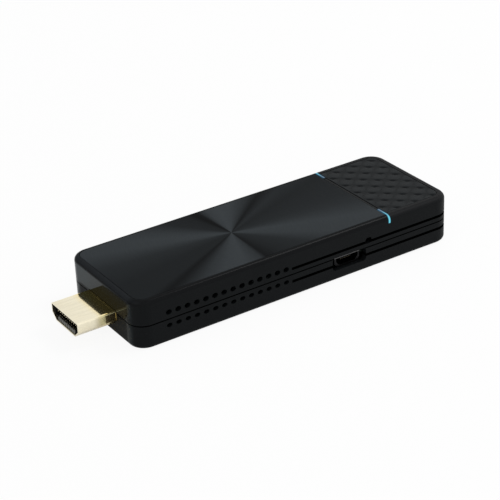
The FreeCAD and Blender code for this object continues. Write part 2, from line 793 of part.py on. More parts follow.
def make_usb_insulator():
    body = new_body("usb_insulator", PORT_PLACE, SOCKET_REAR, "port_axis_height")
    block = new_sketch(body, "XZ_Plane")
    socket_outline(block, "(0 - socket_sheet - core_fit)")
    pad(body, block, "socket_core_length")
    tongue = new_sketch(body, "XZ_Plane", "socket_core_length")
    rectangle(tongue, "-tongue_width / 2", "tongue_width / 2", "tongue_rise - tongue_thickness / 2",
              "tongue_rise + tongue_thickness / 2")
    pad(body, tongue, "socket_length - socket_core_length - tongue_setback")
    channels = new_sketch(body, "XZ_Plane", "socket_length - tongue_setback")
    low = "tongue_rise - tongue_thickness / 2"
    for middle in power_contact_places():
        rectangle(channels, f"{middle} - power_contact_width / 2", f"{middle} + power_contact_width / 2",
                  low, f"{low} + power_contact_thickness")
    pocket(body, channels, "socket_length - tongue_setback")


def make_usb_contacts():
    """Five contacts under the tongue, which rise behind the socket and lie on the board."""
    body = new_body("usb_contacts", PORT_PLACE, SOCKET_REAR)
    tip = "tongue_setback + core_fit - socket_length"
    low = TONGUE_BOTTOM
    rise_in = "socket_gap"
    rise_out = "socket_gap + power_contact_thickness"
    tail = "socket_rear_gap + power_contact_tail"
    sketch = new_sketch(body, "YZ_Plane", "-2 * power_contact_pitch")
    outline(sketch, [(tip, low), (rise_out, low), (rise_out, BOARD_TOP), (tail, BOARD_TOP),
                     (tail, f"{BOARD_TOP} + power_contact_thickness"),
                     (rise_in, f"{BOARD_TOP} + power_contact_thickness"),
                     (rise_in, f"{low} + power_contact_thickness"), (tip, f"{low} + power_contact_thickness")])
    first = pad(body, sketch, "power_contact_width", sides="Symmetric")
    row_of(body, [first], "power_contact_pitch", "power_contact_count")


def make_reset_switch_base():
    body = new_body("reset_switch_base", RESET_PLACE, SWITCH_FRONT)
    block = new_sketch(body, "XZ_Plane")
    rectangle(block, "-switch_width / 2", "switch_width / 2", BOARD_TOP, "reset_height + switch_head")
    pad(body, block, "switch_depth", backwards=True)
    bore = new_sketch(body, "XZ_Plane")
    circle(bore, "0", "reset_height", "switch_bore")
    pocket(body, bore, "switch_bore_depth")


def make_reset_switch_cover():
    """Folded sheet over the front and the head of the switch."""
    body = new_body("reset_switch_cover", RESET_PLACE, SWITCH_FRONT)
    head = "reset_height + switch_head"
    sketch = new_sketch(body, "YZ_Plane")
    outline(sketch, [("-switch_sheet", BOARD_TOP), ("0", BOARD_TOP), ("0", head), ("switch_depth", head),
                     ("switch_depth", f"{head} + switch_sheet"), ("-switch_sheet", f"{head} + switch_sheet")])
    pad(body, sketch, "switch_width", sides="Symmetric")
    hole = new_sketch(body, "XZ_Plane", "switch_sheet")
    circle(hole, "0", "reset_height", "plunger_diameter + 2 * plunger_fit")
    pocket(body, hole, "switch_sheet")


def make_reset_plunger():
    """Button with a collar that the switch's cover holds in."""
    body = new_body("reset_plunger", RESET_PLACE, SWITCH_FRONT, "reset_height")
    collar = new_sketch(body, "XZ_Plane", "-plunger_slack")
    circle(collar, "0", "0", "plunger_collar")
    pad(body, collar, "plunger_collar_length", backwards=True)
    stem = new_sketch(body, "XZ_Plane", "-plunger_slack")
    circle(stem, "0", "0", "plunger_diameter")
    pad(body, stem, "plunger_slack + switch_sheet + plunger_tip_length")
    tip = -value("switch_sheet + plunger_tip_length")
    dress(body, "Chamfer", lambda box: box.YMax < tip + 1e-4, Size="plunger_tip_bevel")


def make_main_board():
    body = new_body("main_board", z=BOARD_UNDER)
    sketch = new_sketch(body, "XY_Plane")
    notch_left = f"{PORT_PLACE} - socket_width / 2 - socket_gap"
    notch_right = f"{PORT_PLACE} + socket_width / 2 + socket_gap"
    notch_end = f"{SOCKET_REAR} + socket_rear_gap"
    outline(sketch, [(BOARD_START, f"-{BOARD_SIDE}"), (notch_left, f"-{BOARD_SIDE}"), (notch_left, notch_end),
                     (notch_right, notch_end), (notch_right, f"-{BOARD_SIDE}"),
                     (BOARD_END, f"-{BOARD_SIDE}", "board_corner_radius"),
                     (BOARD_END, BOARD_SIDE, "board_corner_radius"), (BOARD_START, BOARD_SIDE)])
    for x, y in screw_places():
        many_sided(sketch, x, y, BOARD_HOLE, BOARD_HOLE)
    pad(body, sketch, "board_thickness")


def make_board_screws():
    body = new_body("board_screws", z=BOARD_TOP)
    heads = new_sketch(body, "XY_Plane")
    shanks = new_sketch(body, "XY_Plane")
    for x, y in screw_places():
        many_sided(heads, x, y, "screw_head_diameter", "screw_head_diameter")
        many_sided(shanks, x, y, "screw_diameter", "screw_diameter")
    pad(body, heads, "screw_head_height")
    pad(body, shanks, "screw_length", backwards=True)


def make_chips(label, places, length, width, height, z=BOARD_TOP):
    """Rectangular packages with bevelled top edges, each centred on its place."""
    body = new_body(label, z=z)
    sketch = new_sketch(body, "XY_Plane")
    for x, y in places:
        rectangle(sketch, f"{x} - {length} / 2", f"{x} + {length} / 2", f"{y} - {width} / 2", f"{y} + {width} / 2")
    pad(body, sketch, height)
    dress(body, "Chamfer", at_top(height), Size="chip_bevel")
    return body


def make_thermal_pad():
    body = new_body("thermal_pad", "processor_place", z=f"{BOARD_TOP} + processor_height")
    sketch = new_sketch(body, "XY_Plane")
    rectangle(sketch, "-pad_width / 2", "pad_width / 2", "-pad_width / 2", "pad_width / 2")
    pad(body, sketch, "pad_thickness")


def make_heat_sink():
    """Base on the thermal pad, with a row of fins along the stick."""
    body = new_body("heat_sink", "processor_place", z=f"{BOARD_TOP} + processor_height + pad_thickness")
    base = new_sketch(body, "XY_Plane")
    rectangle(base, "-sink_length / 2", "sink_length / 2", "-sink_width / 2", "sink_width / 2")
    pad(body, base, "sink_base")
    fins = new_sketch(body, "XY_Plane", "sink_base")
    for number in range(int(value("fin_count"))):
        low = f"({number} / (fin_count - 1) * (sink_width - fin_thickness) - sink_width / 2)"
        rectangle(fins, "-sink_length / 2", "sink_length / 2", low, f"{low} + fin_thickness")
    pad(body, fins, "sink_height - sink_base")


def make_wifi_shield():
    body = new_body("wifi_shield", RADIO_PLACE, z=f"{BOARD_TOP} + radio_thickness")
    can = new_sketch(body, "XY_Plane")
    half = "(shield_width / 2)"
    rectangle(can, f"-{half}", half, f"-{half}", half)
    pad(body, can, "shield_height")
    dress(body, "Chamfer", at_top("shield_height"), Size="shield_sheet / 2")
    inside = new_sketch(body, "XY_Plane")
    inner = f"({half} - shield_sheet)"
    rectangle(inside, f"-{inner}", inner, f"-{inner}", inner)
    pocket(body, inside, "shield_height - shield_sheet", forwards=True)


def make_antenna(label, side):
    """Stamped sheet standing on the board: an arm with a feed leg and a ground leg."""
    body = new_body(label, "casing_length - antenna_end_inset", f"{side}({BOARD_SIDE} - antenna_side_inset)",
                    BOARD_TOP)
    sketch = new_sketch(body, "XZ_Plane")
    under = "antenna_height - antenna_arm"
    second = "antenna_leg_pitch"
    outline(sketch, [("0", "0"), ("antenna_leg", "0"), ("antenna_leg", under), (second, under), (second, "0"),
                     (f"{second} + antenna_leg", "0"), (f"{second} + antenna_leg", under),
                     ("antenna_length", under), ("antenna_length", "antenna_height"), ("0", "antenna_height")])
    pad(body, sketch, "antenna_sheet", sides="Symmetric")


def make_crystal():
    """Ceramic base with a metal lid set in from its rim."""
    body = new_body("crystal", "casing_length - crystal_inset", "crystal_offset", BOARD_TOP)
    base = new_sketch(body, "XY_Plane")
    rectangle(base, "-crystal_length / 2", "crystal_length / 2", "-crystal_width / 2", "crystal_width / 2")
    pad(body, base, "crystal_base")
    lid = new_sketch(body, "XY_Plane", "crystal_base")
    half_length = "(crystal_length / 2 - crystal_rim)"
    half_width = "(crystal_width / 2 - crystal_rim)"
    rectangle(lid, f"-{half_length}", half_length, f"-{half_width}", half_width, "crystal_rim", "crystal_rim")
    pad(body, lid, "crystal_height - crystal_base")


def make_inductors():
    """Three eight-sided inductors behind the power socket."""
    body = new_body("power_inductors", z=BOARD_TOP)
    sketch = new_sketch(body, "XY_Plane")
    row = f"({SOCKET_REAR} + socket_rear_gap + power_contact_tail + inductor_gap + inductor_width / 2)"
    half = "(inductor_width / 2)"
    short = f"({half} - inductor_bevel)"
    for number in range(3):
        x = f"({PORT_PLACE} - inductor_lead + {number} * inductor_pitch)"
        steps = [(short, f"-{half}"), (half, f"-{short}"), (half, short), (short, half),
                 (f"-{short}", half), (f"-{half}", short), (f"-{half}", f"-{short}"), (f"-{short}", f"-{half}")]
        outline(sketch, [(f"{x} + {along}", f"{row} + {across}") for along, across in steps])
    pad(body, sketch, "inductor_height")


def make_components():
    """Everything that is soldered to the board, apart from the connectors."""
    make_chips("processor", [("processor_place", "0")], "processor_width", "processor_width", "processor_height")
    make_thermal_pad()
    make_heat_sink()
    memory_place = "(processor_place + processor_width / 2 + memory_gap + memory_length / 2)"
    make_chips("memory_chips", [(memory_place, f"({side}memory_spacing / 2)") for side in ("-", "")],
               "memory_length", "memory_width", "memory_height")
    flash_place = ("(casing_length - flash_end_inset)", f"({BOARD_SIDE} - flash_side_inset - flash_width / 2)")
    make_chips("flash_chip", [flash_place], "flash_length", "flash_width", "flash_height")
    make_chips("wifi_board", [(RADIO_PLACE, "0")], "radio_width", "radio_width", "radio_thickness")
    make_wifi_shield()
    make_antenna("antenna_left", "")
    make_antenna("antenna_right", "-")
    make_chips("indicator_leds", [(GUIDE_PLACE, f"({side}{GUIDE_LEG})") for side in ("-", "")],
               "led_length", "led_width", "led_height")
    make_crystal()
    make_inductors()
    make_chips("power_regulators", [("regulator_place", f"({step} * regulator_pitch)") for step in (-1, 0, 1)],
               "regulator_width", "regulator_width", "regulator_height")
    make_chips("capacitors", [(f"(capacitor_start + {number} * capacitor_pitch)",
                               f"({side}({BOARD_SIDE} - capacitor_inset))")
                              for number in range(int(value("capacitor_count"))) for side in ("-", "")],
               "capacitor_length", "capacitor_width", "capacitor_height")


def check_and_write():
    """Stop on any failed object or bad shape, then write each part to its own file."""
    doc.recompute()
    failed = [item.Name for item in doc.Objects if {"Invalid", "Error"} & set(item.State)]
    failed += [item.Label for item in parts if item.Shape.isNull() or not item.Shape.isValid()]
    if failed:
        raise RuntimeError(f"failed: {failed}")
    os.makedirs("parts", exist_ok=True)
    for item in parts:
        item.Shape.exportStep(f"parts/{item.Label}.step")


fill_sheet()
make_bottom_cover()
make_top_cover()
make_top_plate()
make_grip_panel()
make_tape("plate_adhesive", plate_outline)
make_tape("panel_adhesive", panel_outline)
make_light_guide()
make_hdmi_shell()
make_hdmi_insulator()
make_hdmi_contacts()
make_usb_shell()
make_usb_insulator()
make_usb_contacts()
make_reset_switch_base()
make_reset_switch_cover()
make_reset_plunger()
make_main_board()
make_board_screws()
make_components()
check_and_write()
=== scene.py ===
import math
import bmesh
import bpy
from mathutils import Matrix, Vector


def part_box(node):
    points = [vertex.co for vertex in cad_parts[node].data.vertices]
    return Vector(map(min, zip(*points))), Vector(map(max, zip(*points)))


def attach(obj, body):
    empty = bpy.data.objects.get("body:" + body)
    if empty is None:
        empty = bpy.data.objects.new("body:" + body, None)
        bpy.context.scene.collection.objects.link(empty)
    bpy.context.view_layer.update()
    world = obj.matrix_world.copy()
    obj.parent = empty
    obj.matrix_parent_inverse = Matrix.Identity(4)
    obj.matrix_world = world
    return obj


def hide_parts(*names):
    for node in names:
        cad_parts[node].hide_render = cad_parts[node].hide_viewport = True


# Looks of the wireless display dongle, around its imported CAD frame. The scene itself is in metres. The lengths
# and places below are in millimetres from the same origin, except where a comment says metres.
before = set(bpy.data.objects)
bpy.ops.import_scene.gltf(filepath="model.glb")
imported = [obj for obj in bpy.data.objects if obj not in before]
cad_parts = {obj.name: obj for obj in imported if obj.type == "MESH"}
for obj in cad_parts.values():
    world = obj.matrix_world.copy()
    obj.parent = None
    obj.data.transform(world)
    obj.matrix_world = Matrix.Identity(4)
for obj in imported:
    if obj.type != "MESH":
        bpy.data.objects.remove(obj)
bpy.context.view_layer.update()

MM = 0.001
CASING_TOP = 13.6
SEAM_HEIGHT = 6.625
GROOVE_HEIGHTS = (8.3, 4.6)
GUIDE_X = 33.75
SPIN_CENTRE = (-4.6, 0.55)

PLASTIC_IOR = 1.5
# How far a bump stands out at the most, in metres.
COARSE_RELIEF = 0.00001
MIDDLE_RELIEF = 0.000004
FINE_RELIEF = 0.000002


class Wire:
    """A shader socket that takes part in sums, and adds a Math node for each."""

    def __init__(self, finish, socket):
        self.finish = finish
        self.socket = socket

    def maths(self, operation, *values):
        return self.finish.add("ShaderNodeMath", {"operation": operation}, dict(enumerate(values)))

    def __add__(self, other):
        return self.maths("ADD", self, other)

    def __radd__(self, other):
        return self.maths("ADD", other, self)

    def __sub__(self, other):
        return self.maths("SUBTRACT", self, other)

    def __rsub__(self, other):
        return self.maths("SUBTRACT", other, self)

    def __mul__(self, other):
        return self.maths("MULTIPLY", self, other)

    def __rmul__(self, other):
        return self.maths("MULTIPLY", other, self)

    def __truediv__(self, other):
        return self.maths("DIVIDE", self, other)

    def __pow__(self, other):
        return self.maths("POWER", self, other)

    def __abs__(self):
        return self.maths("ABSOLUTE", self)

    def sine(self):
        return self.maths("SINE", self)

    def ease(self, low, high):
        """Rise smoothly from 0 at low to 1 at high."""
        return self.finish.add("ShaderNodeMapRange", {"interpolation_type": "SMOOTHSTEP"},
                               {"Value": self, "From Min": low, "From Max": high})


class Finish:
    """The look of a material or of the world, built by adding nodes to its tree."""

    def __init__(self, owner):
        self.owner = owner
        owner.use_nodes = True
        self.tree = owner.node_tree
        self.tree.nodes.clear()

    def add(self, kind, settings=None, sockets=None, output=0):
        """Add a node with its settings and socket values, and return one of its outputs."""
        node = self.tree.nodes.new(kind)
        for name, setting in (settings or {}).items():
            if name == "stops":
                self.fill_ramp(node.color_ramp, setting)
            else:
                setattr(node, name, setting)
        for name, value in (sockets or {}).items():
            if isinstance(value, Wire):
                self.tree.links.new(value.socket, node.inputs[name])
            else:
                node.inputs[name].default_value = value
        return Wire(self, node.outputs[output]) if node.outputs else None

    def add_several(self, kind, outputs, sockets=None):
        """Add a node and return its named outputs."""
        node = self.add(kind, None, sockets).socket.node
        return [Wire(self, node.outputs[name]) for name in outputs]

    def fill_ramp(self, ramp, stops):
        while len(ramp.elements) < len(stops):
            ramp.elements.new(0.5)
        for element, (position, colour) in zip(ramp.elements, stops):
            element.position = position
            element.color = (*colour, 1)

    def point(self):
        """The point of the object, in metres."""
        return self.add("ShaderNodeTexCoord", output=3)

    def axes(self, point, letters):
        """The named axes of a point, in millimetres."""
        return [wire / MM for wire in self.add_several("ShaderNodeSeparateXYZ", letters, {0: point})]

    def noise(self, point, scale, detail=2.0):
        """Cloudy noise, with as many steps as its scale says to each unit of the point."""
        return self.add("ShaderNodeTexNoise", None, {"Vector": point, "Scale": scale, "Detail": detail})

    def mix(self, factor, first, second):
        """Mix two colours."""
        return self.add("ShaderNodeMix", {"data_type": "RGBA"}, {0: factor, 6: first, 7: second}, output=2)

    def blend(self, factor, first, second):
        """Mix two shaders."""
        return self.add("ShaderNodeMixShader", None, {0: factor, 1: first, 2: second})

    def bump(self, height, distance, strength):
        return self.add("ShaderNodeBump", None, {"Height": height, "Distance": distance, "Strength": strength})

    def shade(self, **sockets):
        """Add the surface shader, with words joined by _ for the names of its sockets."""
        named = {name.replace("_", " "): value for name, value in sockets.items()}
        return self.add("ShaderNodeBsdfPrincipled", None, named)

    def end(self, shader, kind="ShaderNodeOutputMaterial"):
        self.add(kind, None, {"Surface": shader})
        return self.owner


def new_finish(name):
    return Finish(bpy.data.materials.new(name))


def rgba(red, green, blue):
    return (red, green, blue, 1)


def put(item):
    """Put an object into the scene."""
    bpy.context.scene.collection.objects.link(item)


# Soft edges on the casing. Each goes from where a look starts to where it is complete.
END_WALL_X = (-44.05, -43.6)
# Where a painted sheen lightens the rounded top edge at the plug end.
END_RIM_X = (-43.2, -41.6)
END_RIM_Y = (-14.8, -12.0)
END_RIM_Z = (12.65, 13.1)
# The far part of the end wall, over which a blue-green reflection is painted into its colour.
FAR_WALL_Y = (3.0, 9.0)
FAR_WALL_Z = (6.8, 8.6)
PLUG_SURROUND_Y = (11.4, 12.8)
PLUG_SURROUND_Z = (6.8, 7.8)
NEAR_CORNER_Y = (-13.4, -11.4)
NEAR_CORNER_FOOT = (5.6, 6.6)
NEAR_CORNER_HEAD = (7.8, 8.6)
PANEL_END_X = (34.1, 34.6)
PANEL_END_Z = (12.2, 13.3)
TOP_EDGE_Z = (12.2, 12.7)
# Painted shade along the seam and the grooves, spread a little wider than their cut.
SEAM_DARK_X = (-44.0, -42.5)
SEAM_DARK_Y = (4.0, 9.0)
GROOVE_DARK_X = (2.0, 2.2)
# The same, as distances up and down from the middle of the seam's and the grooves' painted shade.
SEAM_SIDE = (0.13, 0.20)
GROOVE_SIDE = (0.34, 0.44)
# How far the grooves' painted shade lies under their middle.
GROOVE_DROP = 0.06
# How strong a look is: the painted sheen on the end rim at the near side, the loss of polish at the near corner,
# and the painted shade of the seam on the end wall and what the long sides add to it.
PAINTED_SHEEN_AT_NEAR_SIDE = 0.35
NEAR_CORNER_LOSS = 0.6
SEAM_ON_END_WALL = 0.3
SEAM_ON_SIDES = 0.7


def casing_plastic():
    """Black plastic: satin along the sides, polished at the plug end and on the rounded top edges."""
    finish = new_finish("casing_plastic")
    point = finish.point()
    x, y, z = finish.axes(point, "XYZ")
    grain = finish.noise(point, 5200, 3)
    cloud = finish.noise(point, 60)
    black = finish.mix(cloud, rgba(0.0038, 0.0046, 0.0052), rgba(0.0056, 0.0065, 0.0071))

    past_guide = x.ease(*PANEL_END_X)
    satin_black = finish.mix(past_guide * z.ease(*PANEL_END_Z), black, rgba(0.0085, 0.0090, 0.0098))
    satin = finish.shade(Base_Color=satin_black, Roughness=0.42 + grain * 0.12, IOR=PLASTIC_IOR,
                         Specular_IOR_Level=0.06, Normal=finish.bump(grain, COARSE_RELIEF, 0.5))

    # Painted reflection: a blue-green tint on the far part of the end wall.
    painted_reflection_on_far_wall = y.ease(*FAR_WALL_Y) * z.ease(*FAR_WALL_Z)
    wall_black_painted_reflection = finish.mix(painted_reflection_on_far_wall, black, rgba(0.0045, 0.0100, 0.0122))
    polished = finish.shade(Base_Color=wall_black_painted_reflection, Roughness=0.03 + cloud * 0.03, IOR=PLASTIC_IOR,
                            Specular_IOR_Level=0.13, Specular_Tint=rgba(0.6, 0.92, 1.0),
                            Normal=finish.bump(cloud, COARSE_RELIEF, 0.1))

    # Painted sheen: the rounded top edge at the plug end is painted lighter, and less so at the near side.
    painted_sheen_strength = PAINTED_SHEEN_AT_NEAR_SIDE + y.ease(*END_RIM_Y) * (1 - PAINTED_SHEEN_AT_NEAR_SIDE)
    painted_sheen_at_end_rim = (1 - x.ease(*END_RIM_X)) * z.ease(*END_RIM_Z) * painted_sheen_strength
    rim_black_painted_sheen = finish.mix(painted_sheen_at_end_rim, rgba(0.0060, 0.0065, 0.0071), rgba(0.0190, 0.0212, 0.0235))
    rounded = finish.shade(Base_Color=rim_black_painted_sheen, Roughness=0.14 + cloud * 0.04, IOR=PLASTIC_IOR,
                           Specular_IOR_Level=0.04, Normal=finish.bump(grain, MIDDLE_RELIEF, 0.2))

    # Painted shade: near-black paint in the seam and the grooves, reaching a little past their edges.
    groove_painted_shade = rgba(0.001, 0.001, 0.001)
    groove_painted_shade_shader = finish.shade(Base_Color=groove_painted_shade, Roughness=0.7, IOR=PLASTIC_IOR, Specular_IOR_Level=0.0)

    beside_plug = (1 - abs(y).ease(*PLUG_SURROUND_Y)) * (1 - z.ease(*PLUG_SURROUND_Z))
    at_near_corner = ((1 - y.ease(*NEAR_CORNER_Y)) * z.ease(*NEAR_CORNER_FOOT)
                      * (1 - z.ease(*NEAR_CORNER_HEAD)))
    on_end_wall = (1 - x.ease(*END_WALL_X)) * (1 - beside_plug) * (1 - at_near_corner * NEAR_CORNER_LOSS)
    on_top_edge = z.ease(*TOP_EDGE_Z) * (1 - past_guide)
    seam_shade = (1 - y.ease(*SEAM_DARK_Y)) * SEAM_ON_END_WALL + x.ease(*SEAM_DARK_X) * SEAM_ON_SIDES
    groove_painted_shade_mask = (1 - abs(z - SEAM_HEIGHT).ease(*SEAM_SIDE)) * seam_shade
    for height in GROOVE_HEIGHTS:
        here = 1 - abs(z - height + GROOVE_DROP).ease(*GROOVE_SIDE)
        groove_painted_shade_mask = groove_painted_shade_mask + here * x.ease(*GROOVE_DARK_X)

    surface = finish.blend(on_end_wall, satin, polished)
    surface = finish.blend(on_top_edge, surface, rounded)
    return finish.end(finish.blend(groove_painted_shade_mask, surface, groove_painted_shade_shader))


# The wedges of painted reflection on the spun plate: turn from +X in parts of a whole turn, and brightness.
PAINTED_REFLECTION_STOPS = [
    (0.000, 0.35), (0.055, 0.25), (0.083, 0.37), (0.108, 0.10), (0.128, 0.48), (0.160, 0.80), (0.200, 0.89),
    (0.236, 0.74), (0.250, 0.47), (0.262, 0.10), (0.278, 0.06), (0.300, 0.22), (0.358, 0.29), (0.400, 0.68),
    (0.425, 0.81), (0.450, 0.78), (0.486, 0.39), (0.530, 0.26), (0.570, 0.26), (0.581, 0.10), (0.590, 0.20),
    (0.615, 0.58), (0.645, 0.80), (0.690, 0.86), (0.735, 0.52), (0.750, 0.10), (0.790, 0.24), (0.860, 0.36),
    (0.900, 0.75), (0.945, 0.80), (0.980, 0.45), (1.000, 0.35),
]
RING_PITCH = 0.12
# The fine scratches of the spinning: how many steps of noise a turn and a millimetre of radius have.
SCRATCHES_ROUND = 40
SCRATCHES_OUTWARD = 2.6


def spun_plate_painted_reflections():
    """Black plate with a spun finish: painted reflections in wedges about its centre, and fine rings."""
    finish = new_finish("spun_plate_painted_reflections")
    x, y = finish.axes(finish.point(), "XY")
    across = x - SPIN_CENTRE[0]
    along = y - SPIN_CENTRE[1]
    angle = along.maths("ARCTAN2", along, across) / (2 * math.pi)
    turn = angle.maths("FRACT", angle + 1.0)
    stops = [(position, (light, light, light)) for position, light in PAINTED_REFLECTION_STOPS]
    # Painted reflections: wedges of lighter colour about the spin centre, fixed to the plate.
    painted_reflection_wedges = finish.add("ShaderNodeValToRGB", {"stops": stops}, {0: turn})
    radius = (across * across + along * along) ** 0.5
    rings = (radius * (2 * math.pi / RING_PITCH)).sine()
    spun = finish.add("ShaderNodeCombineXYZ", None, {0: turn * SCRATCHES_ROUND, 1: radius * SCRATCHES_OUTWARD})
    fine = finish.noise(spun, 1.0, 3)
    painted_shine = painted_reflection_wedges * (0.86 + fine * 0.28)
    colour = finish.mix(painted_shine, rgba(0.0004, 0.0005, 0.0006), rgba(0.044, 0.051, 0.056))
    shader = finish.shade(Base_Color=colour, Roughness=0.30 + fine * 0.1, IOR=PLASTIC_IOR,
                          Specular_IOR_Level=0.01, Normal=finish.bump(rings, FINE_RELIEF, 0.4))
    return finish.end(shader)


# The tabbed panel. Its lozenge tabs lie in rows that run askew: half the size of the cell that two tabs fill, the
# middle of one tab, how deep the grooves are and how much a tab's top falls away.
TAB_HALF = (3.05, 2.75)
TAB_MIDDLE = (1.86, 2.05)
TAB_DEPTH = 0.22
TAB_CROWN = 0.07


def panel_plastic():
    """Black moulded plastic of the tabbed panel, with painted shade in its grooves and a painted highlight
    towards the crests of its tabs.
    """
    finish = new_finish("panel_plastic")
    point = finish.point()
    [z] = finish.axes(point, "Z")
    grain = finish.noise(point, 5000, 3)
    height = z - CASING_TOP
    groove_painted_shade, tab_black = rgba(0.0055, 0.0064, 0.0072), rgba(0.0152, 0.0168, 0.0178)
    # Painted shade and highlight: darker down in the grooves, lighter towards the tabs' crests.
    colour = finish.mix(height.ease(-TAB_DEPTH, -TAB_CROWN), groove_painted_shade, tab_black)
    colour = finish.mix(height.ease(-TAB_CROWN, 0.0), colour, rgba(0.0235, 0.0258, 0.0272))
    shader = finish.shade(Base_Color=colour, Roughness=0.38 + grain * 0.15, IOR=PLASTIC_IOR,
                          Specular_IOR_Level=0.02, Normal=finish.bump(grain, COARSE_RELIEF, 0.4))
    return finish.end(shader)


# Soft edges on the light guide, of which Y is the distance from the middle plane.
GUIDE_LIT_Y = (11.9, 12.6)
GUIDE_BEND_Y = (13.3, 15.6)
GUIDE_TOP_Z = (13.1, 13.62)
# The bright core's half width, and how far its light fades out on the top and, added to that, lower down.
GUIDE_CORE = 0.03
GUIDE_FADE = 0.22
GUIDE_FADE_BELOW = 0.20


def lit_guide():
    """Clear plastic, lit cyan at its two windows."""
    finish = new_finish("lit_guide")
    point = finish.point()
    x, y, z = finish.axes(point, "XYZ")
    lit = abs(y).ease(*GUIDE_LIT_Y)
    down = 1 - z.ease(*GUIDE_TOP_Z)
    core = 1 - abs(x - GUIDE_X).ease(GUIDE_CORE, GUIDE_FADE + down * GUIDE_FADE_BELOW)
    glow = finish.mix(abs(y).ease(*GUIDE_BEND_Y), rgba(0.200, 0.245, 0.310), rgba(0.205, 0.640, 0.790))
    glow = finish.mix(down, glow, rgba(0.17, 0.70, 0.85))
    glow = finish.mix(core, rgba(0.01, 0.08, 0.15), glow)
    glow = finish.mix(lit, rgba(0.0005, 0.001, 0.0015), glow)
    cloud = finish.noise(point, 900)
    smoky = finish.mix(cloud, rgba(0.010, 0.012, 0.013), rgba(0.014, 0.016, 0.017))
    shader = finish.shade(Base_Color=smoky, Roughness=0.2 + cloud * 0.1, Specular_IOR_Level=0.02,
                          Emission_Color=glow, Emission_Strength=1.0)
    return finish.end(shader)


# Soft edges on the plug's shell, of which Y is the distance from the middle plane.
PLUG_SIDE_Y = (6.6, 6.9)
# Along X, where the painted dark reflection on the plug's sides sets in.
PLUG_SIDE_X = (-50.8, -47.6)
PLUG_ROOT_X = (-50.0, -45.5)
ROOT_LINE_X = -44.6
ROOT_LINE_SIDE = (0.10, 0.32)
ROOT_LINE_Y = (4.6, 5.2)
ROOT_LINE_Z = (7.2, 7.35)
WINDOW_OUTER_Y = (6.80, 6.90)
WINDOW_INNER_Y = (6.68, 6.72)
WINDOW_FOOT_Z = (4.6, 4.75)
WINDOW_X = (-47.2, -47.1)
# The lines that drawing the metal left: steps of noise to a metre each way, and the noise that shows dark.
DRAWN_STRETCH = (150, 1500, 1500)
DRAWN_DARK = (0.35, 0.75)


def gold_plating():
    """Drawn gold plating of the plug's shell, deeper in colour at its root; along its sides towards the root it
    is duller and carries a painted dark reflection.
    """
    finish = new_finish("gold_plating")
    point = finish.point()
    x, y, z = finish.axes(point, "XYZ")
    stretched = finish.add("ShaderNodeVectorMath", {"operation": "MULTIPLY"}, {0: point, 1: DRAWN_STRETCH})
    drawn = finish.noise(stretched, 1.0, 3)
    cloud = finish.noise(point, 400)
    colour = finish.mix(cloud, rgba(0.97, 0.89, 0.67), rgba(1.0, 0.93, 0.73))

    on_side = abs(y).ease(*PLUG_SIDE_Y)
    # Painted reflection: the sides darken towards the root, as a mirror of the dark end wall.
    side_painted_reflection = on_side * x.ease(*PLUG_SIDE_X)
    colour = finish.mix(side_painted_reflection * (0.75 + cloud * 0.5), colour, rgba(0.50, 0.43, 0.26))
    at_root = x.ease(*PLUG_ROOT_X)
    root_gold = finish.mix(on_side, rgba(1.0, 0.78, 0.26), rgba(1.0, 0.92, 0.50))
    colour = finish.mix(at_root, colour, root_gold)

    on_line = (1 - abs(x - ROOT_LINE_X).ease(*ROOT_LINE_SIDE)) * (1 - abs(y).ease(*ROOT_LINE_Y))
    on_line = on_line * z.ease(*ROOT_LINE_Z)
    worn = on_side * at_root * 0.20 + on_line * 0.20
    in_window = (1 - abs(y).ease(*WINDOW_OUTER_Y)) * abs(y).ease(*WINDOW_INNER_Y)
    in_window = in_window * z.ease(*WINDOW_FOOT_Z) * x.ease(*WINDOW_X)
    colour = finish.mix(in_window, colour, rgba(0.42, 0.33, 0.16))
    dimmed = finish.mix(0.85, rgba(0.0, 0.0, 0.0), colour)
    colour = finish.mix(drawn.ease(*DRAWN_DARK) * 0.5, colour, dimmed)
    shader = finish.shade(Base_Color=colour, Metallic=0.985, Roughness=0.05 + drawn * 0.05 + worn,
                          Normal=finish.bump(drawn, FINE_RELIEF, 0.15))
    return finish.end(shader)


# Soft edge between the lower and the upper row of the plug's contacts; shade is painted on the lower row.
CONTACT_ROWS_Z = (5.0, 5.2)


def plug_contact_metal():
    """Gold of the plug's contacts, with painted shade on the lower row's ends."""
    finish = new_finish("plug_contact_metal")
    point = finish.point()
    [z] = finish.axes(point, "Z")
    cloud = finish.noise(point, 1200, 3)
    gold = finish.mix(cloud, rgba(0.80, 0.68, 0.42), rgba(0.90, 0.78, 0.50))
    # Painted shade: the lower row's ends are darker, deep in the plug's mouth.
    colour = finish.mix(1 - z.ease(*CONTACT_ROWS_Z), gold, rgba(0.16, 0.13, 0.08))
    shader = finish.shade(Base_Color=colour, Metallic=1.0, Roughness=0.18 + cloud * 0.10,
                          Normal=finish.bump(cloud, MIDDLE_RELIEF, 0.3))
    return finish.end(shader)


# Soft edge of the painted highlight along the socket's upper rim, as distances under its top.
SOCKET_HIGHLIGHT_EDGE = (0.62, 0.50)


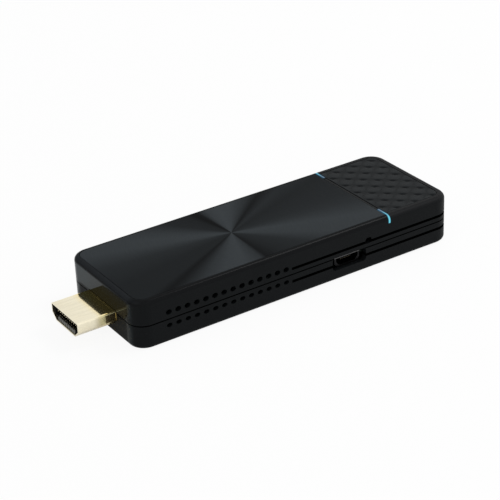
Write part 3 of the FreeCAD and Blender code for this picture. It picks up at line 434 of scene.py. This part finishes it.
def socket_steel():
    """Dark steel of the power socket, with a painted highlight along its upper edge."""
    finish = new_finish("socket_steel")
    point = finish.point()
    [z] = finish.axes(point, "Z")
    cloud = finish.noise(point, 1200, 3)
    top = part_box("usb_shell")[1].z / MM
    # Painted highlight: lighter steel along the socket's upper edge.
    painted_highlight_at_edge = z.ease(top - SOCKET_HIGHLIGHT_EDGE[0], top - SOCKET_HIGHLIGHT_EDGE[1])
    dark = finish.mix(cloud, rgba(0.010, 0.010, 0.011), rgba(0.022, 0.022, 0.023))
    shader = finish.shade(Base_Color=finish.mix(painted_highlight_at_edge, dark, rgba(0.10, 0.10, 0.10)), Metallic=1.0,
                          Roughness=0.28 + cloud * 0.12, Normal=finish.bump(cloud, MIDDLE_RELIEF, 0.3))
    return finish.end(shader)


def plain_metal(name, dark, light, roughness):
    finish = new_finish(name)
    cloud = finish.noise(finish.point(), 1200, 3)
    shader = finish.shade(Base_Color=finish.mix(cloud, dark, light), Metallic=1.0,
                          Roughness=roughness + cloud * 0.12, Normal=finish.bump(cloud, MIDDLE_RELIEF, 0.3))
    return finish.end(shader)


def plain_matte(name, dark, light, roughness, specular=0.3):
    finish = new_finish(name)
    cloud = finish.noise(finish.point(), 1500, 3)
    shader = finish.shade(Base_Color=finish.mix(cloud, dark, light), Roughness=roughness + cloud * 0.15,
                          Specular_IOR_Level=specular, Normal=finish.bump(cloud, COARSE_RELIEF, 0.4))
    return finish.end(shader)


def dress_nodes():
    """Give every CAD node its finish."""
    finishes = {
        casing_plastic(): ("top_cover", "bottom_cover"),
        spun_plate_painted_reflections(): ("top_plate",),
        lit_guide(): ("light_guide",),
        gold_plating(): ("hdmi_shell",),
        plug_contact_metal(): ("hdmi_contacts",),
        socket_steel(): ("usb_shell",),
        plain_metal("sheet_steel", rgba(0.50, 0.50, 0.50), rgba(0.62, 0.62, 0.61), 0.25): (
            "wifi_shield", "antenna_left", "antenna_right", "reset_switch_cover", "crystal"),
        plain_metal("contact_metal", rgba(0.20, 0.16, 0.09), rgba(0.26, 0.21, 0.12), 0.2): ("usb_contacts",),
        plain_metal("sink_aluminium", rgba(0.60, 0.60, 0.61), rgba(0.72, 0.72, 0.73), 0.4): ("heat_sink",),
        plain_metal("screw_steel", rgba(0.40, 0.40, 0.41), rgba(0.52, 0.52, 0.52), 0.3): ("board_screws",),
        plain_matte("connector_plastic", rgba(0.004, 0.004, 0.004), rgba(0.008, 0.008, 0.008), 0.6, 0.05): (
            "hdmi_insulator", "usb_insulator"),
        plain_matte("chip_epoxy", rgba(0.012, 0.012, 0.013), rgba(0.022, 0.022, 0.023), 0.5): (
            "processor", "memory_chips", "flash_chip", "power_regulators"),
        plain_matte("board_laminate", rgba(0.003, 0.006, 0.004), rgba(0.006, 0.010, 0.007), 0.35): (
            "main_board", "wifi_board"),
        plain_matte("tape", rgba(0.50, 0.48, 0.42), rgba(0.60, 0.58, 0.52), 0.7): (
            "plate_adhesive", "panel_adhesive"),
        plain_matte("thermal_rubber", rgba(0.25, 0.28, 0.32), rgba(0.32, 0.35, 0.40), 0.8): ("thermal_pad",),
        plain_matte("ferrite", rgba(0.03, 0.03, 0.03), rgba(0.05, 0.05, 0.05), 0.6): ("power_inductors",),
        plain_matte("ceramic", rgba(0.35, 0.26, 0.16), rgba(0.45, 0.34, 0.22), 0.6): ("capacitors",),
        plain_matte("led_lens", rgba(0.70, 0.76, 0.76), rgba(0.80, 0.85, 0.85), 0.2): ("indicator_leds",),
        plain_matte("switch_plastic", rgba(0.010, 0.010, 0.011), rgba(0.020, 0.020, 0.021), 0.5): (
            "reset_switch_base",),
        plain_matte("plunger_plastic", rgba(0.04, 0.04, 0.042), rgba(0.06, 0.06, 0.062), 0.45): (
            "reset_plunger",),
    }
    for material, names in finishes.items():
        for name in names:
            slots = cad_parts[name].data.materials
            slots.clear()
            slots.append(material)


def new_piece(name, mesh, material):
    """Turn a finished mesh into a piece of the scene."""
    bmesh.ops.recalc_face_normals(mesh, faces=mesh.faces)
    data = bpy.data.meshes.new(name)
    mesh.to_mesh(data)
    mesh.free()
    data.materials.append(material)
    piece = bpy.data.objects.new(name, data)
    put(piece)
    return piece


# The grooves between the tabs' rows and between the tabs of a row: width in parts of a tab's pitch, and least or
# most depth in parts of TAB_DEPTH. CROWN_BESIDE is how much a tab's top falls away along its row.
ROW_GROOVE = 0.14
ROW_GROOVE_LEAST = 0.12
SIDE_GROOVE = 0.08
SIDE_GROOVE_MOST = 0.32
CROWN_BESIDE = 0.6
# The panel's grid, its rounded corners, its bevel and the border over which its relief fades in.
PANEL_STEP = 0.15
PANEL_CORNER = 2.6
PANEL_BEVEL = 0.10
PANEL_BORDER = 0.4


def relief_depth(x, y):
    """Depth of the panel's relief at one place, between its tabs and on their crowns."""
    along = (x - TAB_MIDDLE[0]) / TAB_HALF[0]
    across = (y - TAB_MIDDLE[1]) / TAB_HALF[1]
    row, tab = (along + across) / 2, (along - across) / 2
    off_row, off_tab = row - round(row), tab - round(tab)
    groove = math.exp(-(off_row / ROW_GROOVE) ** 2)
    groove *= ROW_GROOVE_LEAST + (1 - ROW_GROOVE_LEAST) * math.cos(math.pi * off_tab) ** 2
    gap = SIDE_GROOVE_MOST * math.exp(-((abs(off_tab) - 0.5) / SIDE_GROOVE) ** 2)
    gap *= math.sin(math.pi * off_row) ** 2
    crown = TAB_CROWN * min(1.0, (1 - 2 * abs(off_row)) ** 2 + CROWN_BESIDE * (2 * off_tab) ** 2)
    return max(TAB_DEPTH * max(groove, gap), crown)


def make_tabbed_panel():
    """Panel with its raised tabs, which stands for the plain panel."""
    low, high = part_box("grip_panel")
    left, right = low.x / MM, high.x / MM
    side, top, bottom = high.y / MM, high.z / MM, low.z / MM
    columns = round((right - left) / PANEL_STEP)
    rows = round(2 * side / PANEL_STEP)
    mesh = bmesh.new()
    grid = []
    for i in range(columns + 1):
        x = left + (right - left) * i / columns
        past = max(0.0, x - (right - PANEL_CORNER))
        half = side - PANEL_CORNER + math.sqrt(max(0.0, PANEL_CORNER ** 2 - past ** 2))
        line = []
        for j in range(rows + 1):
            y = half * (2 * j / rows - 1)
            inset = min(half - abs(y), right - x, x - left)
            drop = max(0.0, PANEL_BEVEL - inset)
            z = top - relief_depth(x, y) * min(1.0, inset / PANEL_BORDER) - drop
            line.append(mesh.verts.new((x * MM, y * MM, z * MM)))
        grid.append(line)
    for i in range(columns):
        for j in range(rows):
            mesh.faces.new((grid[i][j], grid[i + 1][j], grid[i + 1][j + 1], grid[i][j + 1]))
    rim = ([grid[i][0] for i in range(columns)] + [grid[columns][j] for j in range(rows)]
           + [grid[i][rows] for i in range(columns, 0, -1)] + [grid[0][j] for j in range(rows, 0, -1)])
    under = [mesh.verts.new((corner.co.x, corner.co.y, bottom * MM)) for corner in rim]
    count = len(rim)
    for number in range(count):
        after = (number + 1) % count
        mesh.faces.new((rim[after], rim[number], under[number], under[after]))
    mesh.faces.new(under[::-1])
    panel = new_piece("tabbed_panel", mesh, panel_plastic())
    for face in panel.data.polygons:
        face.use_smooth = abs(face.normal.z) > 0.5
    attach(panel, "casing")
    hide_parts("grip_panel")


# The comb's ribs. Its foot lies over the shell's underside, and its top lies under the lower contacts.
COMB_PITCH = 1.0
COMB_COUNT = 9
COMB_WIDTH = 0.48
COMB_REACH = 0.28
COMB_BEVEL = 0.07
COMB_FOOT = 0.36
COMB_HEADROOM = 0.03


def make_plug_comb():
    """Ribs on the lower lip of the plug's insulator, one in front of each contact of the lower row."""
    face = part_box("hdmi_insulator")[0].x / MM
    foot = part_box("hdmi_shell")[0].z / MM + COMB_FOOT
    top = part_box("hdmi_contacts")[0].z / MM - COMB_HEADROOM
    mesh = bmesh.new()
    for number in range(COMB_COUNT):
        middle = (number - (COMB_COUNT - 1) / 2) * COMB_PITCH
        loops = []
        for x, inset in ((face, 0.0), (face - COMB_REACH + COMB_BEVEL, 0.0), (face - COMB_REACH, COMB_BEVEL)):
            half = COMB_WIDTH / 2 - inset
            corners = [(middle - half, foot + inset), (middle + half, foot + inset),
                       (middle + half, top - inset), (middle - half, top - inset)]
            loops.append([mesh.verts.new((x * MM, y * MM, z * MM)) for y, z in corners])
        for near, far in zip(loops, loops[1:]):
            for corner in range(4):
                after = (corner + 1) % 4
                mesh.faces.new((near[corner], near[after], far[after], far[corner]))
        mesh.faces.new(loops[0])
        mesh.faces.new(loops[-1])
    grey = plain_matte("comb_plastic", rgba(0.17, 0.17, 0.155), rgba(0.24, 0.24, 0.22), 0.5, 0.2)
    comb = new_piece("plug_comb", mesh, grey)
    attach(comb, "casing")


# The floor, in metres. It lies a hair under the dongle. The shares are how much of plain white is seen in it.
FLOOR_HALF = 3
FLOOR_DROP = 0.00002
SHARE_TO_CAMERA = 0.91
SHARE_TO_GLOSS = 0.3


def make_floor():
    """Pale floor under the dongle, close to white for the camera, with the dongle's shadow."""
    finish = new_finish("floor_white")
    lit = finish.add("ShaderNodeBsdfDiffuse", None, {"Color": rgba(0.93, 0.93, 0.93)})
    shown = finish.add("ShaderNodeEmission", None, {"Color": rgba(1, 1, 1), "Strength": 1.0})
    camera, glossy, through = finish.add_several(
        "ShaderNodeLightPath", ("Is Camera Ray", "Is Glossy Ray", "Is Transmission Ray"))
    seen = camera * SHARE_TO_CAMERA + (glossy + through) * SHARE_TO_GLOSS
    data = bpy.data.meshes.new("floor")
    corners = [(x * FLOOR_HALF, y * FLOOR_HALF, 0) for x, y in ((-1, -1), (1, -1), (1, 1), (-1, 1))]
    data.from_pydata(corners, [], [(0, 1, 2, 3)])
    data.materials.append(finish.end(finish.blend(seen, lit, shown)))
    floor = bpy.data.objects.new("floor", data)
    floor.location.z = -FLOOR_DROP
    put(floor)


# The camera's place in metres, and the ways that its right, its top and its back point.
CAMERA_PLACE = (-0.20548, -0.32536, 0.21310)
CAMERA_RIGHT = (0.8328, -0.5522, -0.0394)
CAMERA_UP = (0.2900, 0.3744, 0.8808)
CAMERA_BACK = (-0.4717, -0.7449, 0.4719)
SENSOR_WIDTH = 36
FOCAL_LENGTH = 118.9


def make_camera():
    """Camera at the photograph's place."""
    data = bpy.data.cameras.new("camera")
    data.sensor_width = SENSOR_WIDTH
    data.lens = FOCAL_LENGTH
    data.clip_start = 0.01
    camera = bpy.data.objects.new("camera", data)
    turn = Matrix((CAMERA_RIGHT, CAMERA_UP, CAMERA_BACK)).transposed().to_4x4()
    camera.matrix_world = Matrix.Translation(CAMERA_PLACE) @ turn
    put(camera)
    bpy.context.scene.camera = camera


# The lamp's place and size in metres, and its power in watts.
LAMP_PLACE = (0.50, -0.17, 0.72)
LAMP_SIZE = 0.34
LAMP_POWER = 1.8


def make_lamp():
    """Soft round lamp above the far end, which shines at the middle of the dongle."""
    data = bpy.data.lights.new("overhead", "AREA")
    data.shape = "DISK"
    data.size = LAMP_SIZE
    data.energy = LAMP_POWER
    lamp = bpy.data.objects.new("overhead", data)
    lamp.location = LAMP_PLACE
    lamp.rotation_euler = (-Vector(LAMP_PLACE)).to_track_quat("-Z", "Y").to_euler()
    put(lamp)


# The studio: the way to its dark side, the soft edge of that side, and how bright it is outside and inside.
DARK_SIDE = (-0.47, 0.75, 0.47)
DARK_EDGE = (0.60, 0.82)
STUDIO_LEVEL = 0.95
DARK_LEVEL = 0.23


def make_studio():
    """Even light all round, with one dark side, and colours shown as they are."""
    studio = Finish(bpy.data.worlds.new("studio"))
    direction = studio.add("ShaderNodeTexCoord")
    facing = studio.add("ShaderNodeVectorMath", {"operation": "DOT_PRODUCT"}, {0: direction, 1: DARK_SIDE},
                        output=1)
    strength = STUDIO_LEVEL - facing.ease(*DARK_EDGE) * (STUDIO_LEVEL - DARK_LEVEL)
    [camera] = studio.add_several("ShaderNodeLightPath", ("Is Camera Ray",))
    strength = strength.maths("MAXIMUM", strength, camera)
    light = studio.add("ShaderNodeBackground", None, {"Color": rgba(1, 1, 1), "Strength": strength})
    bpy.context.scene.world = studio.end(light, "ShaderNodeOutputWorld")
    bpy.context.scene.view_settings.view_transform = "Standard"


make_camera()
make_floor()
make_studio()
make_lamp()
dress_nodes()
make_tabbed_panel()
make_plug_comb()
